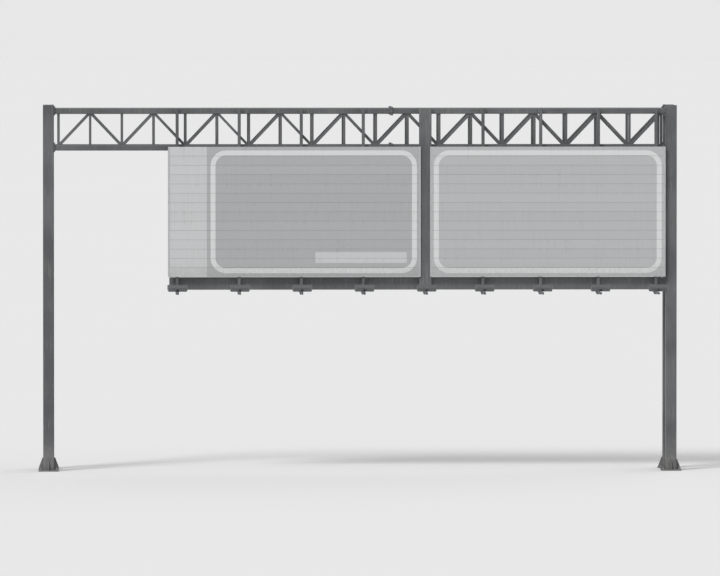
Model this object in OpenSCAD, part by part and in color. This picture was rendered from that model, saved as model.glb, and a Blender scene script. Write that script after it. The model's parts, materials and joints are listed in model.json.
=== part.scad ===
// Overhead sign gantry. A lattice box beam stands on two trestle legs and carries two sign
// faces, a walkway behind their lower edges and lights that reach out in front of them.
// Millimetres, Z up, the signs face -Y. The origin is on the ground, under the middle of the
// overall box, and Y is counted from the middle plane of the beam until in_place() moves it.

/* [Overall] */
// Distance between the centres of the left and right columns
leg_span = 20100; // [16500:50:26000]
// Height of the column tops above the ground
column_top = 11800; // [11000:50:14500]
// Free height for traffic under the lowest steelwork
clearance = 5700; // [5100:50:6900]

/* [Legs] */
// Width of a square column
column_s = 350; // [250:10:450]
// Wall of a column
column_wall = 12.5; // [8:0.5:20]
// Distance between the centres of the front and rear columns
column_pitch = 1600; // [1300:50:2200]
// Thickness of the plate that closes a column
cap_t = 15; // [8:1:25]
// Width of the bars that brace the two columns of a leg
brace_s = 100; // [60:10:140]
// Number of braced bays in the height of a leg
brace_bays = 7; // [4:1:9]

/* [Feet] */
// Width of a square base plate
base_w = 650; // [560:10:800]
// Thickness of a base plate
base_t = 40; // [25:5:60]
// Distance between the centres of the anchor holes
anchor_pitch = 500; // [480:10:540]
// Diameter of an anchor hole
anchor_d = 42; // [30:1:50]
// Height of the stiffening fins above the base plate
fin_h = 320; // [150:10:500]
// Thickness of a stiffening fin
fin_t = 20; // [10:1:30]

/* [Beam] */
// Depth of the beam over its chords
beam_depth = 1360; // [1100:20:1800]
// Distance from the column tops down to the top of the beam
beam_drop = 100; // [40:10:400]
// Width of a square chord
chord_s = 180; // [140:10:220]
// Wall of a chord
chord_wall = 10; // [6:0.5:16]
// Width of the bars in the front and rear faces
lacing_s = 80; // [50:5:100]
// Width of the bars in the top and bottom faces
plan_s = 70; // [40:5:90]
// Number of bays along the beam, an odd number so that the splice falls inside a bay
bays = 19; // [13:2:25]
// Distance from a column to the first upright of the beam
first_upright = 150; // [100:10:300]
// Width of the square plates that join lengths of chord
plate_w = 280; // [240:10:320]
// Thickness of the plates that join lengths of chord
plate_t = 25; // [15:1:35]

/* [Signs] */
// Width of the left sign face
left_sign_w = 8150; // [6700:50:9800]
// Width of the right sign face
right_sign_w = 7600; // [6300:50:8200]
// Gap between the two sign faces
sign_gap = 300; // [100:10:600]
// Distance from the right column to the right edge of the signs
sign_end_gap = 25; // [0:5:500]
// Height of one plank of a sign face
plank_h = 300; // [250:10:360]
// Number of planks in a sign face
planks = 14; // [10:1:16]
// Depth of a plank from its front to the back of its lips
plank_d = 45; // [30:1:60]
// Wall of a plank
plank_t = 4; // [3:0.5:6]
// Height of a plank's rear lips
plank_lip = 20; // [12:1:40]
// Open joint between planks
plank_joint = 2; // [1:0.5:5]
// Height of the signs above the walkway floor
sign_lift = 160; // [130:10:400]
// Width of the trim over the ends of the planks
trim_w = 60; // [30:5:120]
// Thickness of the trim
trim_t = 3; // [2:0.5:5]

/* [Hangers] */
// Greatest distance between hangers
hanger_pitch = 2050; // [1700:10:2080]
// Distance from the outer edge of a sign to its outer hanger
hanger_margin = 300; // [100:10:600]
// Width of a hanger seen from the front
hanger_w = 100; // [80:5:150]
// Width of the middle hanger, which fills the gap between the signs and carries their inner edges
middle_w = 400; // [300:10:600]
// Depth of a hanger
hanger_d = 200; // [150:10:250]
// Wall of a hanger
hanger_wall = 8; // [5:0.5:12]
// Thickness of the cleats that hold a hanger
cleat_t = 12; // [8:1:20]
// Height of the cleats that hold a hanger
cleat_h = 120; // [80:5:130]

/* [Walkway] */
// Width of the walkway over its edge channels
walkway_w = 800; // [700:10:1000]
// Depth of a bearer below its hanger
bearer_h = 150; // [120:5:220]
// Depth of a bearer at its rear tip
bearer_tip_h = 80; // [60:5:120]
// Width of a bearer's flanges
bearer_w = 100; // [80:5:150]
// Thickness of a bearer's web and flanges
bearer_t = 12; // [8:1:20]
// Depth of the edge channels
channel_h = 230; // [150:5:260]
// Width of the edge channels' flanges
channel_w = 75; // [50:5:100]
// Thickness of the edge channels
channel_t = 8; // [5:0.5:12]
// Thickness of the floor panels
floor_t = 30; // [25:1:50]
// Length of one floor panel
floor_panel = 1000; // [600:50:1200]
// Distance between the bearing bars of the floor, which run across the walkway
grating_pitch = 41; // [30:1:60]
// Thickness of the bearing bars and of the bars round a floor panel
grating_bar_t = 5; // [3:0.5:8]
// Height of the toe boards above the edge channels
toe_h = 150; // [100:5:200]
// Thickness of the toe boards
toe_t = 6; // [4:0.5:10]
// Height of the top rail above the floor
rail_h = 1100; // [1000:10:1200]
// Diameter of the rails
rail_d = 42.4; // [33.7:0.1:48.3]
// Diameter of the stanchions
stanchion_d = 48.3; // [42.4:0.1:60.3]
// Diameter of the balls that the rails pass through
ball_d = 80; // [74:1:90]

/* [Lights] */
// Distance from the hangers to the tips of the light arms
light_reach = 1600; // [1200:50:2000]
// Width of a light arm
arm_s = 60; // [40:5:80]
// Length of a light housing along the sign
light_l = 640; // [400:10:900]
// Depth of a light housing
light_d = 300; // [220:10:400]
// Height of a light housing
light_h = 120; // [90:5:160]
// Wall of a light housing
light_wall = 8; // [4:0.5:12]
// Thickness of the glass
glass_t = 6; // [4:0.5:10]
// Angle that the glass is turned towards the sign
light_tilt = 30; // [10:1:45]

/* [Hidden] */

$fn = 48;

// Smooth hollow sections have corners of about two and a half walls
corner_ratio = 2.5;
// Clearance of a rail in its ball
rail_clearance = 0.3;
// How far a stanchion is let into its side plate
weld_sink = 4;
// Height of a base fin's toe, and its distance from the edge of the base plate
fin_toe = 30;
fin_edge = 10;
// Share of a hanger's depth that a cleat covers, and the size of the cleat's cut corners
cleat_cover = 0.75;
cleat_corner = 40;
// Distance from the outer edges of the signs to the ends of the walkway
walkway_short = 50;
// Distance from the ends of the walkway to its last stanchions
stanchion_inset = 80;
// Distance from the ends of the walkway to the end guards
guard_inset = 60;
// Radius of the bends in an end guard
guard_bend = 120;
// Size and thickness of the feet under an end guard
guard_foot_w = 90;
guard_foot_t = 8;
// Size of the plate that holds a stanchion to the edge channel
side_plate_w = 100;
side_plate_h = 120;
side_plate_t = 10;
// Distance of a bolted plate from the edges of what it is fixed to
plate_edge = 10;
// Joint between floor panels, and between the floor and a toe board
floor_joint = 4;
// Rows of openings in a floor panel, between its cross bars
grating_rows = 2;
// Plate on the hanger end of a light arm
arm_plate_w = 110;
arm_plate_t = 10;
arm_wall = 5;
// Width of the ledge under the glass of a light
ledge_w = 8;
// Gap round the glass of a light
glass_gap = 0.5;
// Sheet and clearance of the reflector in a light
reflector_t = 2;
reflector_gap = 10;
// Lamp and lamp holders in a light
lamp_d = 30;
lamp_l = 260;
holder_l = 40;
holder_w = 50;
// Distance from the tip of a light arm to the middle of the housing
light_setback = 190;
// Height of the bracket under a light, in its middle
light_seat = 75;
// Width and plate of the bracket under a light, and how far its foot reaches past its cheeks
light_seat_w = 80;
bracket_t = 6;
bracket_toe = 25;
// Depth and overhang of the frame round the glass of a light
frame_t = 14;
frame_lip = 8;

steel_dark = "DimGray";
steel_pale = "Gray";
sheet_colour = "Silver";
lamp_colour = "DarkSlateGray";

inner_x = leg_span / 2 - column_s / 2;
beam_top = column_top - beam_drop;
beam_bottom = beam_top - beam_depth;
chord_y = column_pitch / 2;
chord_front = chord_y + chord_s / 2;
chord_top_z = beam_top - chord_s / 2;
chord_bottom_z = beam_bottom + chord_s / 2;
lattice_end = inner_x - first_upright;
hanger_front = chord_front + hanger_d;
sign_front = hanger_front + plank_d;

bearer_top = clearance + bearer_h;
floor_bottom = bearer_top + channel_h;
floor_top = floor_bottom + floor_t;
sign_bottom = floor_top + sign_lift;
sign_top = sign_bottom + planks * plank_h;
hanger_top = max(beam_top, sign_top);

right_sign_hi = inner_x - sign_end_gap;
right_sign_lo = right_sign_hi - right_sign_w;
left_sign_hi = right_sign_lo - sign_gap;
left_sign_lo = left_sign_hi - left_sign_w;

walkway_lo = left_sign_lo + walkway_short;
walkway_hi = right_sign_hi - walkway_short;
walkway_rear = walkway_w - chord_front;
post_y = walkway_rear + side_plate_t + stanchion_d / 2 - weld_sink;

front_reach = hanger_front + light_reach;
rear_reach = column_pitch / 2 + base_w / 2;
beam_y = (front_reach - rear_reach) / 2;

arm_z = clearance + bearer_h / 2;
light_y = -front_reach + light_setback;
light_z = arm_z + arm_s / 2 + light_seat;

// Hangers stand at even spaces from the middle one out to the outer edge of each sign
middle_x = (left_sign_hi + right_sign_lo) / 2;
function hanger_row(outer) = let (n = ceil(abs(outer - middle_x) / hanger_pitch))
    [for (i = [1 : n]) middle_x + i * (outer - middle_x) / n];
left_hangers = hanger_row(left_sign_lo + hanger_margin);
right_hangers = hanger_row(right_sign_hi - hanger_margin);
all_hangers = concat(left_hangers, [middle_x], right_hangers);
stanchion_row = concat([walkway_lo + stanchion_inset], all_hangers, [walkway_hi - stanchion_inset]);

// The chords are spliced in the middle bay or one beside it, whichever is farthest from a hanger, at a
// whole millimetre
function from_hangers(x) = min([for (hanger_x = all_hangers) abs(x - hanger_x)]);
function farthest(places) = let (gaps = [for (x = places) from_hangers(x)])
    places[search(max(gaps), gaps)[0]];
splice_x = round(farthest([-1, 0, 1] * 2 * lattice_end / bays));

// Moves what is drawn about the beam's middle plane to its place over the origin
module in_place() {
    translate([0, beam_y, 0]) children();
}

// A block from its lowest to its highest corner
module block(lo, hi) {
    translate(lo) cube(hi - lo);
}

// Outline of a rectangle with round corners
module round_rect(w, d, r) {
    square([w - 2 * r, d], center = true);
    square([w, d - 2 * r], center = true);
    for (x = [-1, 1], y = [-1, 1])
        translate([x * (w / 2 - r), y * (d / 2 - r)]) circle(r);
}

// Outline of a hollow section
module hollow_rect(w, d, wall) {
    difference() {
        round_rect(w, d, corner_ratio * wall);
        round_rect(w - 2 * wall, d - 2 * wall, (corner_ratio - 1) * wall);
    }
}

// Extrudes a (Y, Z) outline along X
module along_x(lo, hi) {
    translate([lo, 0, 0]) rotate([90, 0, 90]) linear_extrude(hi - lo) children();
}

// A straight bar between two points of a flat outline
module bar_2d(p, q, s) {
    run = q - p;
    translate(p) rotate(atan2(run.y, run.x)) translate([0, -s / 2]) square([norm(run), s]);
}

// Flat lattice between two chords: an upright at each bay, and diagonals that change direction
// and whose middle lines meet half a bar inside the chords, where the chords' faces cut them
module lattice_2d(x0, x1, z0, z1, n, s) {
    step = (x1 - x0) / n;
    low = z0 - s / 2;
    high = z1 + s / 2;
    for (i = [0 : n])
        translate([x0 + i * step - s / 2, z0]) square([s, z1 - z0]);
    intersection() {
        translate([x0, z0]) square([x1 - x0, z1 - z0]);
        union()
            for (i = [0 : n - 1]) {
                rises = i % 2 == 0;
                bar_2d([x0 + i * step, rises ? low : high], [x0 + (i + 1) * step, rises ? high : low], s);
            }
    }
}

// Feet

module base_plate(x, y) {
    in_place() color(steel_dark) difference() {
        translate([x, y, base_t / 2]) cube([base_w, base_w, base_t], center = true);
        for (dx = [-1, 1], dy = [-1, 1])
            translate([x + dx * anchor_pitch / 2, y + dy * anchor_pitch / 2, -1])
                cylinder(d = anchor_d, h = base_t + 2);
    }
}

// One fin, its upright edge on the column face at x = 0 and its foot on z = 0
module base_fin() {
    fin_l = (base_w - column_s) / 2 - fin_edge;
    translate([0, fin_t / 2, 0]) rotate([90, 0, 0]) linear_extrude(fin_t)
        polygon([[0, 0], [fin_l, 0], [fin_l, fin_toe], [fin_toe, fin_h], [0, fin_h]]);
}

module base_fins(x) {
    in_place() color(steel_dark)
        for (y = [-1, 1] * column_pitch / 2, turn = [0, 90, 180, 270])
            translate([x, y, base_t]) rotate(turn) translate([column_s / 2, 0, 0]) base_fin();
}

// Legs

module column(x, y) {
    in_place() color(steel_dark) translate([x, y, 0]) {
        translate([0, 0, base_t]) linear_extrude(column_top - cap_t - base_t)
            hollow_rect(column_s, column_s, column_wall);
        translate([0, 0, column_top - cap_t]) linear_extrude(cap_t)
            round_rect(column_s, column_s, corner_ratio * column_wall);
    }
}

module leg_bracing(x) {
    half = (column_pitch - column_s) / 2;
    brace_lo = base_t + fin_h + brace_s;
    brace_hi = beam_top - brace_s / 2;
    in_place() color(steel_dark) along_x(x - brace_s / 2, x + brace_s / 2)
        rotate(90) lattice_2d(brace_lo, brace_hi, -half, half, brace_bays, brace_s);
}

// Beam

module chord(y, z) {
    in_place() color(steel_dark)
        for (ends = [[-inner_x, splice_x], [splice_x, inner_x]])
            translate([0, y, z]) along_x(ends[0] + plate_t, ends[1] - plate_t)
                hollow_rect(chord_s, chord_s, chord_wall);
}

// Four square plates, one on each chord, from x to x + plate_t
module plate_set(x) {
    in_place() color(steel_dark)
        for (y = [-chord_y, chord_y], z = [chord_bottom_z, chord_top_z])
            block([x, y - plate_w / 2, z - plate_w / 2], [x + plate_t, y + plate_w / 2, z + plate_w / 2]);
}

module side_lacing(y) {
    in_place() color(steel_dark) translate([0, y + lacing_s / 2, 0]) rotate([90, 0, 0])
        linear_extrude(lacing_s)
            lattice_2d(-lattice_end, lattice_end, beam_bottom + chord_s, beam_top - chord_s, bays, lacing_s);
}

module plan_lacing(z) {
    inside = chord_y - chord_s / 2;
    in_place() color(steel_dark) translate([0, 0, z - plan_s / 2]) linear_extrude(plan_s)
        lattice_2d(-lattice_end, lattice_end, -inside, inside, bays, plan_s);
}

// Hangers

module hangers(row, w) {
    in_place() color(steel_dark)
        for (x = row) translate([x, -chord_front - hanger_d / 2, 0]) {
            translate([0, 0, bearer_top]) linear_extrude(hanger_top - hanger_wall - bearer_top)
                hollow_rect(w, hanger_d, hanger_wall);
            translate([0, 0, hanger_top - hanger_wall]) linear_extrude(hanger_wall)
                round_rect(w, hanger_d, corner_ratio * hanger_wall);
        }
}

// Cleats at both sides of each hanger, standing on the front of a chord
module hanger_cleats(z) {
    reach = hanger_d * cleat_cover;
    in_place() color(steel_dark)
        for (x = all_hangers, side = [-1, 1]) {
            half = (x == middle_x ? middle_w : hanger_w) / 2;
            inner = x + side * half;
            outer = x + side * (half + cleat_t);
            along_x(min(inner, outer), max(inner, outer)) translate([-chord_front, z]) polygon([
                [0, -cleat_h / 2], [0, cleat_h / 2], [cleat_corner - reach, cleat_h / 2],
                [-reach, cleat_h / 2 - cleat_corner], [-reach, cleat_corner - cleat_h / 2],
                [cleat_corner - reach, -cleat_h / 2]
            ]);
        }
}

// Signs

// Outline of one plank: a front wall, two flanges with rear lips, and a T-shaped rail at mid-height
module plank_2d() {
    h = plank_h - plank_joint;
    back = plank_d - plank_t;
    polygon([
        [0, 0], [plank_d, 0], [plank_d, plank_lip], [back, plank_lip], [back, plank_t],
        [plank_t, plank_t], [plank_t, h - plank_t], [back, h - plank_t], [back, h - plank_lip],
        [plank_d, h - plank_lip], [plank_d, h], [0, h]
    ]);
    translate([0, (h - plank_t) / 2]) square([plank_d, plank_t]);
    translate([back, h / 2 - plank_lip]) square([plank_t, 2 * plank_lip]);
}

module sign_planks(lo, hi) {
    in_place() color(sheet_colour)
        for (i = [0 : planks - 1])
            along_x(lo + trim_t, hi - trim_t)
                translate([-sign_front, sign_bottom + i * plank_h + plank_joint / 2]) plank_2d();
}

// An angle that covers the ends of the planks at each side of a sign
module sign_trim(lo, hi) {
    depth = plank_d + trim_t;
    in_place() color(sheet_colour)
        for (side = [0, 1])
            translate([side == 0 ? lo : hi, -sign_front - trim_t, sign_bottom]) mirror([side, 0, 0])
                linear_extrude(sign_top - sign_bottom) polygon([
                    [0, 0], [trim_w, 0], [trim_w, trim_t], [trim_t, trim_t], [trim_t, depth], [0, depth]
                ]);
}

// Walkway

// An I-section bracket under each hanger, deep at the hanger and shallow at its rear tip
module walkway_bearers() {
    y0 = -hanger_front;
    y1 = -chord_front;
    y2 = walkway_rear;
    z0 = clearance;
    z1 = bearer_top;
    z2 = bearer_top - bearer_tip_h;
    in_place() color(steel_pale)
        for (x = all_hangers) {
            along_x(x - bearer_w / 2, x + bearer_w / 2) {
                polygon([[y0, z1 - bearer_t], [y2, z1 - bearer_t], [y2, z1], [y0, z1]]);
                polygon([
                    [y0, z0], [y1, z0], [y2, z2],
                    [y2, z2 + bearer_t], [y1, z0 + bearer_t], [y0, z0 + bearer_t]
                ]);
            }
            along_x(x - bearer_t / 2, x + bearer_t / 2)
                polygon([[y0, z0], [y1, z0], [y2, z2], [y2, z1], [y0, z1]]);
            block([x - bearer_w / 2, y0, z0], [x + bearer_w / 2, y0 + bearer_t, z1]);
        }
}

// Edge channel with its back at y = 0 and its flanges towards +Y
module channel_2d() {
    polygon([
        [0, 0], [channel_w, 0], [channel_w, channel_t], [channel_t, channel_t],
        [channel_t, channel_h - channel_t], [channel_w, channel_h - channel_t],
        [channel_w, channel_h], [0, channel_h]
    ]);
}

module walkway_channel(back_y, turn) {
    in_place() color(steel_pale) along_x(walkway_lo, walkway_hi)
        translate([back_y, bearer_top]) mirror([turn, 0]) channel_2d();
}

// Outline of a grating panel: bars round its edge, bearing bars across it and a few cross bars
module grating_2d(l, w) {
    columns = round(l / grating_pitch);
    step = (l - grating_bar_t) / columns;
    row = (w - grating_bar_t) / grating_rows;
    difference() {
        square([l, w]);
        for (i = [0 : columns - 1], j = [0 : grating_rows - 1])
            translate([i * step + grating_bar_t, j * row + grating_bar_t])
                square([step - grating_bar_t, row - grating_bar_t]);
    }
}

module walkway_floor() {
    length = walkway_hi - walkway_lo;
    panels = ceil(length / floor_panel);
    step = length / panels;
    edge = toe_t + floor_joint;
    in_place() color(steel_pale)
        for (i = [0 : panels - 1])
            translate([walkway_lo + i * step + floor_joint / 2, edge - chord_front, floor_bottom])
                linear_extrude(floor_t) grating_2d(step - floor_joint, walkway_w - 2 * edge);
}

module toe_boards() {
    in_place() color(steel_pale)
        for (y = [-chord_front, walkway_rear - toe_t])
            block([walkway_lo, y, floor_bottom], [walkway_hi, y + toe_t, floor_bottom + toe_h]);
}

// Posts on side plates, with a drilled ball for the middle rail and one for the top rail
module handrail_stanchions() {
    foot_z = floor_bottom - side_plate_h;
    in_place() color(steel_pale)
        for (x = stanchion_row) difference() {
            union() {
                block([x - side_plate_w / 2, walkway_rear, foot_z],
                    [x + side_plate_w / 2, walkway_rear + side_plate_t, floor_bottom - plate_edge]);
                translate([x, post_y, foot_z]) cylinder(d = stanchion_d, h = floor_top + rail_h - foot_z);
                for (h = [rail_h / 2, rail_h])
                    translate([x, post_y, floor_top + h]) sphere(d = ball_d);
            }
            for (h = [rail_h / 2, rail_h])
                translate([x - ball_d, post_y, floor_top + h]) rotate([0, 90, 0])
                    cylinder(d = rail_d + 2 * rail_clearance, h = 2 * ball_d);
        }
}

module handrail_rails() {
    in_place() color(steel_pale)
        for (h = [rail_h / 2, rail_h])
            translate([walkway_lo + stanchion_inset, post_y, floor_top + h]) rotate([0, 90, 0])
                cylinder(d = rail_d, h = walkway_hi - walkway_lo - 2 * stanchion_inset);
}

// At each end a bent tube across the walkway with a middle rail and two flat feet
module end_guards() {
    edge = toe_t + floor_joint + guard_foot_w / 2;
    y0 = edge - chord_front;
    y1 = walkway_rear - edge;
    top = floor_top + rail_h;
    in_place() color(steel_pale)
        for (x = [walkway_lo + guard_inset, walkway_hi - guard_inset]) {
            for (y = [y0, y1]) {
                translate([x, y, floor_top]) cylinder(d = rail_d, h = rail_h - guard_bend);
                block([x - guard_foot_w / 2, y - guard_foot_w / 2, floor_top],
                    [x + guard_foot_w / 2, y + guard_foot_w / 2, floor_top + guard_foot_t]);
            }
            translate([x, y0 + guard_bend, top]) rotate([-90, 0, 0])
                cylinder(d = rail_d, h = y1 - y0 - 2 * guard_bend);
            translate([x, y0, floor_top + rail_h / 2]) rotate([-90, 0, 0]) cylinder(d = rail_d, h = y1 - y0);
            for (side = [0, 1])
                translate([x, side == 0 ? y0 + guard_bend : y1 - guard_bend, top - guard_bend])
                    mirror([0, side, 0]) rotate([0, 90, 0]) rotate([0, 0, 180])
                        rotate_extrude(angle = 90) translate([guard_bend, 0]) circle(d = rail_d);
        }
}

// Lights

// A hollow arm with a bolted plate at the bearer, a cap at its tip and a bracket under the light
module light_arms() {
    y1 = -hanger_front - arm_plate_t;
    in_place() color(steel_pale)
        for (x = all_hangers) {
            block([x - arm_plate_w / 2, y1, clearance + plate_edge],
                [x + arm_plate_w / 2, y1 + arm_plate_t, bearer_top - plate_edge]);
            translate([x, y1, arm_z]) rotate([90, 0, 0]) linear_extrude(front_reach + y1 - arm_wall)
                hollow_rect(arm_s, arm_s, arm_wall);
            translate([x, -front_reach + arm_wall, arm_z]) rotate([90, 0, 0]) linear_extrude(arm_wall)
                round_rect(arm_s, arm_s, corner_ratio * arm_wall);
            light_bracket(x);
        }
}

// A foot on the arm, two cheeks and a tilted seat, all folded from plate
module light_bracket(x) {
    half = arm_s / 2;
    foot_w = light_seat_w + 2 * bracket_toe;
    cut = bracket_t / 2 / cos(light_tilt);
    rise = light_seat_w / 2 * tan(light_tilt);
    along_x(x - half, x + half) translate([light_y - foot_w / 2, light_z - light_seat])
        square([foot_w, bracket_t]);
    for (from = [x - half, x + half - bracket_t])
        along_x(from, from + bracket_t) translate([light_y, light_z]) polygon([
            [-light_seat_w / 2, -light_seat], [light_seat_w / 2, -light_seat],
            [light_seat_w / 2, -rise - cut], [-light_seat_w / 2, rise - cut]
        ]);
    on_light(x, arm_s) translate([-light_seat_w / 2, -bracket_t]) square([light_seat_w, bracket_t]);
}

// Outline of a light housing: a flat seat at the origin, sides that lean out, and a straight rim
module light_2d(w, h) {
    rim = w / 2;
    shoulder = rim - h / 5;
    seat = rim - h / 2;
    polygon([
        [-seat, 0], [seat, 0], [shoulder, h / 4], [rim, h * 4 / 5],
        [rim, h], [-rim, h], [-rim, h * 4 / 5], [-shoulder, h / 4]
    ]);
}

// Outline of a light from its long side, with ends that lean out as its sides do
module light_end_2d(l, h) {
    seat = l / 2 - h / 4;
    polygon([[-seat, 0], [seat, 0], [l / 2, h * 4 / 5], [l / 2, h], [-l / 2, h], [-l / 2, h * 4 / 5]]);
}

// Puts a (Y, Z) outline on a light's seat, turned towards the sign and as long as asked
module on_light(x, length) {
    translate([x, light_y, light_z]) rotate([-light_tilt, 0, 0]) along_x(-length / 2, length / 2) children();
}

// The form of a light, which serves for its outside and for its hollow
module light_body(x, l, w, h, lift) {
    intersection() {
        on_light(x, l) translate([0, lift]) light_2d(w, h);
        translate([x, light_y, light_z]) rotate([90 - light_tilt, 0, 0]) translate([0, lift, -w / 2])
            linear_extrude(w) light_end_2d(l, h);
    }
}

module light_housings() {
    inset = 2 * (light_wall + ledge_w);
    in_place() color(lamp_colour)
        for (x = all_hangers) difference() {
            union() {
                light_body(x, light_l, light_d, light_h, 0);
                on_light(x, light_l + 2 * frame_lip)
                    translate([0, light_h - frame_t / 2])
                        square([light_d + 2 * frame_lip, frame_t], center = true);
            }
            light_body(x, light_l - inset, light_d - inset, light_h, light_wall);
            on_light(x, light_l - 2 * light_wall)
                translate([0, light_h]) square([light_d - 2 * light_wall, 2 * glass_t], center = true);
        }
}

// A folded trough with closed ends on the floor of each housing, and a lamp between two holders
module light_reflectors() {
    rim = light_d / 2 - light_wall - ledge_w - reflector_gap;
    floor_half = rim - light_h / 2;
    length = light_l - 2 * (light_wall + ledge_w + reflector_gap) - light_h / 2;
    h = light_h - light_wall - glass_t - reflector_gap;
    lamp_z = light_wall + h / 2;
    trough = [[-floor_half, 0], [floor_half, 0], [rim, h], [-rim, h]];
    in_place() color(sheet_colour)
        for (x = all_hangers) {
            difference() {
                on_light(x, length) translate([0, light_wall]) polygon(trough);
                on_light(x, length - 2 * reflector_t)
                    translate([0, light_wall + reflector_t]) polygon(trough);
            }
            difference() {
                on_light(x, lamp_l + 2 * holder_l) translate([-holder_w / 2, light_wall])
                    square([holder_w, h / 2 + lamp_d]);
                on_light(x, lamp_l) translate([-holder_w, 0]) square([2 * holder_w, light_h]);
            }
            on_light(x, lamp_l + holder_l) translate([0, lamp_z]) circle(d = lamp_d);
        }
}

module light_glasses() {
    in_place() color("LightCyan")
        for (x = all_hangers)
            on_light(x, light_l - 2 * light_wall - 2 * glass_gap)
                translate([0, light_h - glass_t / 2])
                    square([light_d - 2 * light_wall - 2 * glass_gap, glass_t], center = true);
}

leg_x = leg_span / 2;
leg_y = column_pitch / 2;

base_plate(-leg_x, -leg_y);  // base_plate_left_front
base_plate(-leg_x, leg_y);  // base_plate_left_rear
base_plate(leg_x, -leg_y);  // base_plate_right_front
base_plate(leg_x, leg_y);  // base_plate_right_rear
base_fins(-leg_x);  // base_fins_left
base_fins(leg_x);  // base_fins_right
column(-leg_x, -leg_y);  // column_left_front
column(-leg_x, leg_y);  // column_left_rear
column(leg_x, -leg_y);  // column_right_front
column(leg_x, leg_y);  // column_right_rear
leg_bracing(-leg_x);  // leg_bracing_left
leg_bracing(leg_x);  // leg_bracing_right
chord(-chord_y, chord_top_z);  // chord_top_front
chord(chord_y, chord_top_z);  // chord_top_rear
chord(-chord_y, chord_bottom_z);  // chord_bottom_front
chord(chord_y, chord_bottom_z);  // chord_bottom_rear
plate_set(-inner_x);  // end_plates_left
plate_set(inner_x - plate_t);  // end_plates_right
plate_set(splice_x - plate_t);  // splice_plates_left
plate_set(splice_x);  // splice_plates_right
side_lacing(-chord_y);  // lacing_front
side_lacing(chord_y);  // lacing_rear
plan_lacing(chord_top_z);  // lacing_top
plan_lacing(chord_bottom_z);  // lacing_bottom
hangers(left_hangers, hanger_w);  // hangers_left_sign
hangers([middle_x], middle_w);  // hanger_between_signs
hangers(right_hangers, hanger_w);  // hangers_right_sign
hanger_cleats(chord_top_z);  // hanger_cleats_top
hanger_cleats(chord_bottom_z);  // hanger_cleats_bottom
sign_planks(left_sign_lo, left_sign_hi);  // sign_planks_left
sign_planks(right_sign_lo, right_sign_hi);  // sign_planks_right
sign_trim(left_sign_lo, left_sign_hi);  // sign_trim_left
sign_trim(right_sign_lo, right_sign_hi);  // sign_trim_right
walkway_bearers();
walkway_channel(-chord_front, 0);  // walkway_channel_front
walkway_channel(walkway_rear, 1);  // walkway_channel_rear
walkway_floor();
toe_boards();
handrail_stanchions();
handrail_rails();
end_guards();
light_arms();
light_housings();
light_reflectors();
light_glasses();
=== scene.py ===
# Looks of an overhead sign gantry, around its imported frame. Metres, Z up, the signs face -Y.
import json
import math
import random

import bmesh
import bpy
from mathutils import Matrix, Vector

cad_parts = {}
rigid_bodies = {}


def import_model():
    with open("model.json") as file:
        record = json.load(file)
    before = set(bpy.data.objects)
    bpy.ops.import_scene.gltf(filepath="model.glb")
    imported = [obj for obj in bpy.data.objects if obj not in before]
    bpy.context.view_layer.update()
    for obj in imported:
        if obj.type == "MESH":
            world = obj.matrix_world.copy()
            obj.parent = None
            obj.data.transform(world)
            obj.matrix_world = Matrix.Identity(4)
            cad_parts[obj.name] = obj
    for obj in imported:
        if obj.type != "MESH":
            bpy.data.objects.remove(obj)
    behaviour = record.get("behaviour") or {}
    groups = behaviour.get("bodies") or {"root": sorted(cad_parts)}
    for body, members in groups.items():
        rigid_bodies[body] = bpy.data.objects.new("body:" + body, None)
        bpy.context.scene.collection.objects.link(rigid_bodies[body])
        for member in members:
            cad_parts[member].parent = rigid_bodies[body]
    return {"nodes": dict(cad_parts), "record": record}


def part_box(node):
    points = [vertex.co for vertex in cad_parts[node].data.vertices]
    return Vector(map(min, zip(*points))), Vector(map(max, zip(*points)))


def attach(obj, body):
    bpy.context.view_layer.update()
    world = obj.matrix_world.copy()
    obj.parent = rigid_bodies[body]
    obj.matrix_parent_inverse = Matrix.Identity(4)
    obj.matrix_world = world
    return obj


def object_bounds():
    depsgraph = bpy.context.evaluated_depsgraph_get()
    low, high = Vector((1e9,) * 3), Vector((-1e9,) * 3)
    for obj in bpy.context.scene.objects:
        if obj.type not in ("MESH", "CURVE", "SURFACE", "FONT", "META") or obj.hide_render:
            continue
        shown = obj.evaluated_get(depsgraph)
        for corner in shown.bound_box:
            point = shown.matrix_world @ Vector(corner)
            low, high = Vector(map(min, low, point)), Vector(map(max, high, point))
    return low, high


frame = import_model()
CAD_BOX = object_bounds()

X = Vector((1, 0, 0))
Y = Vector((0, 1, 0))
Z = Vector((0, 0, 1))
CORNERS = ((-1, -1), (-1, 1), (1, -1), (1, 1))
MM = 0.001

# Colours, in linear light

# The steelwork's paint, the primer under it and what lies on it
STEEL_PAINT = (0.066, 0.070, 0.075)
STEEL_PAINT_PALE = (0.105, 0.110, 0.115)
PAINT_FADED = (0.135, 0.140, 0.146)
# Wet paint on the steel's dark runs; on the signs the same colour is painted shade in the gaps between
# planks
PAINT_WET_AND_GAP_SHADE = (0.034, 0.035, 0.037)
PRIMER = (0.21, 0.21, 0.215)
RUST = (0.115, 0.066, 0.042)
DUST = (0.27, 0.26, 0.24)
# Zinc on the walkway and on the bolts
ZINC = (0.32, 0.33, 0.34)
ZINC_BRIGHT = (0.52, 0.53, 0.54)
ZINC_BLOOM = (0.56, 0.57, 0.57)
ZINC_DULL = (0.19, 0.185, 0.175)
BOLT_ZINC = (0.30, 0.30, 0.31)
BOLT_ZINC_DULL = (0.20, 0.20, 0.205)
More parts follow.
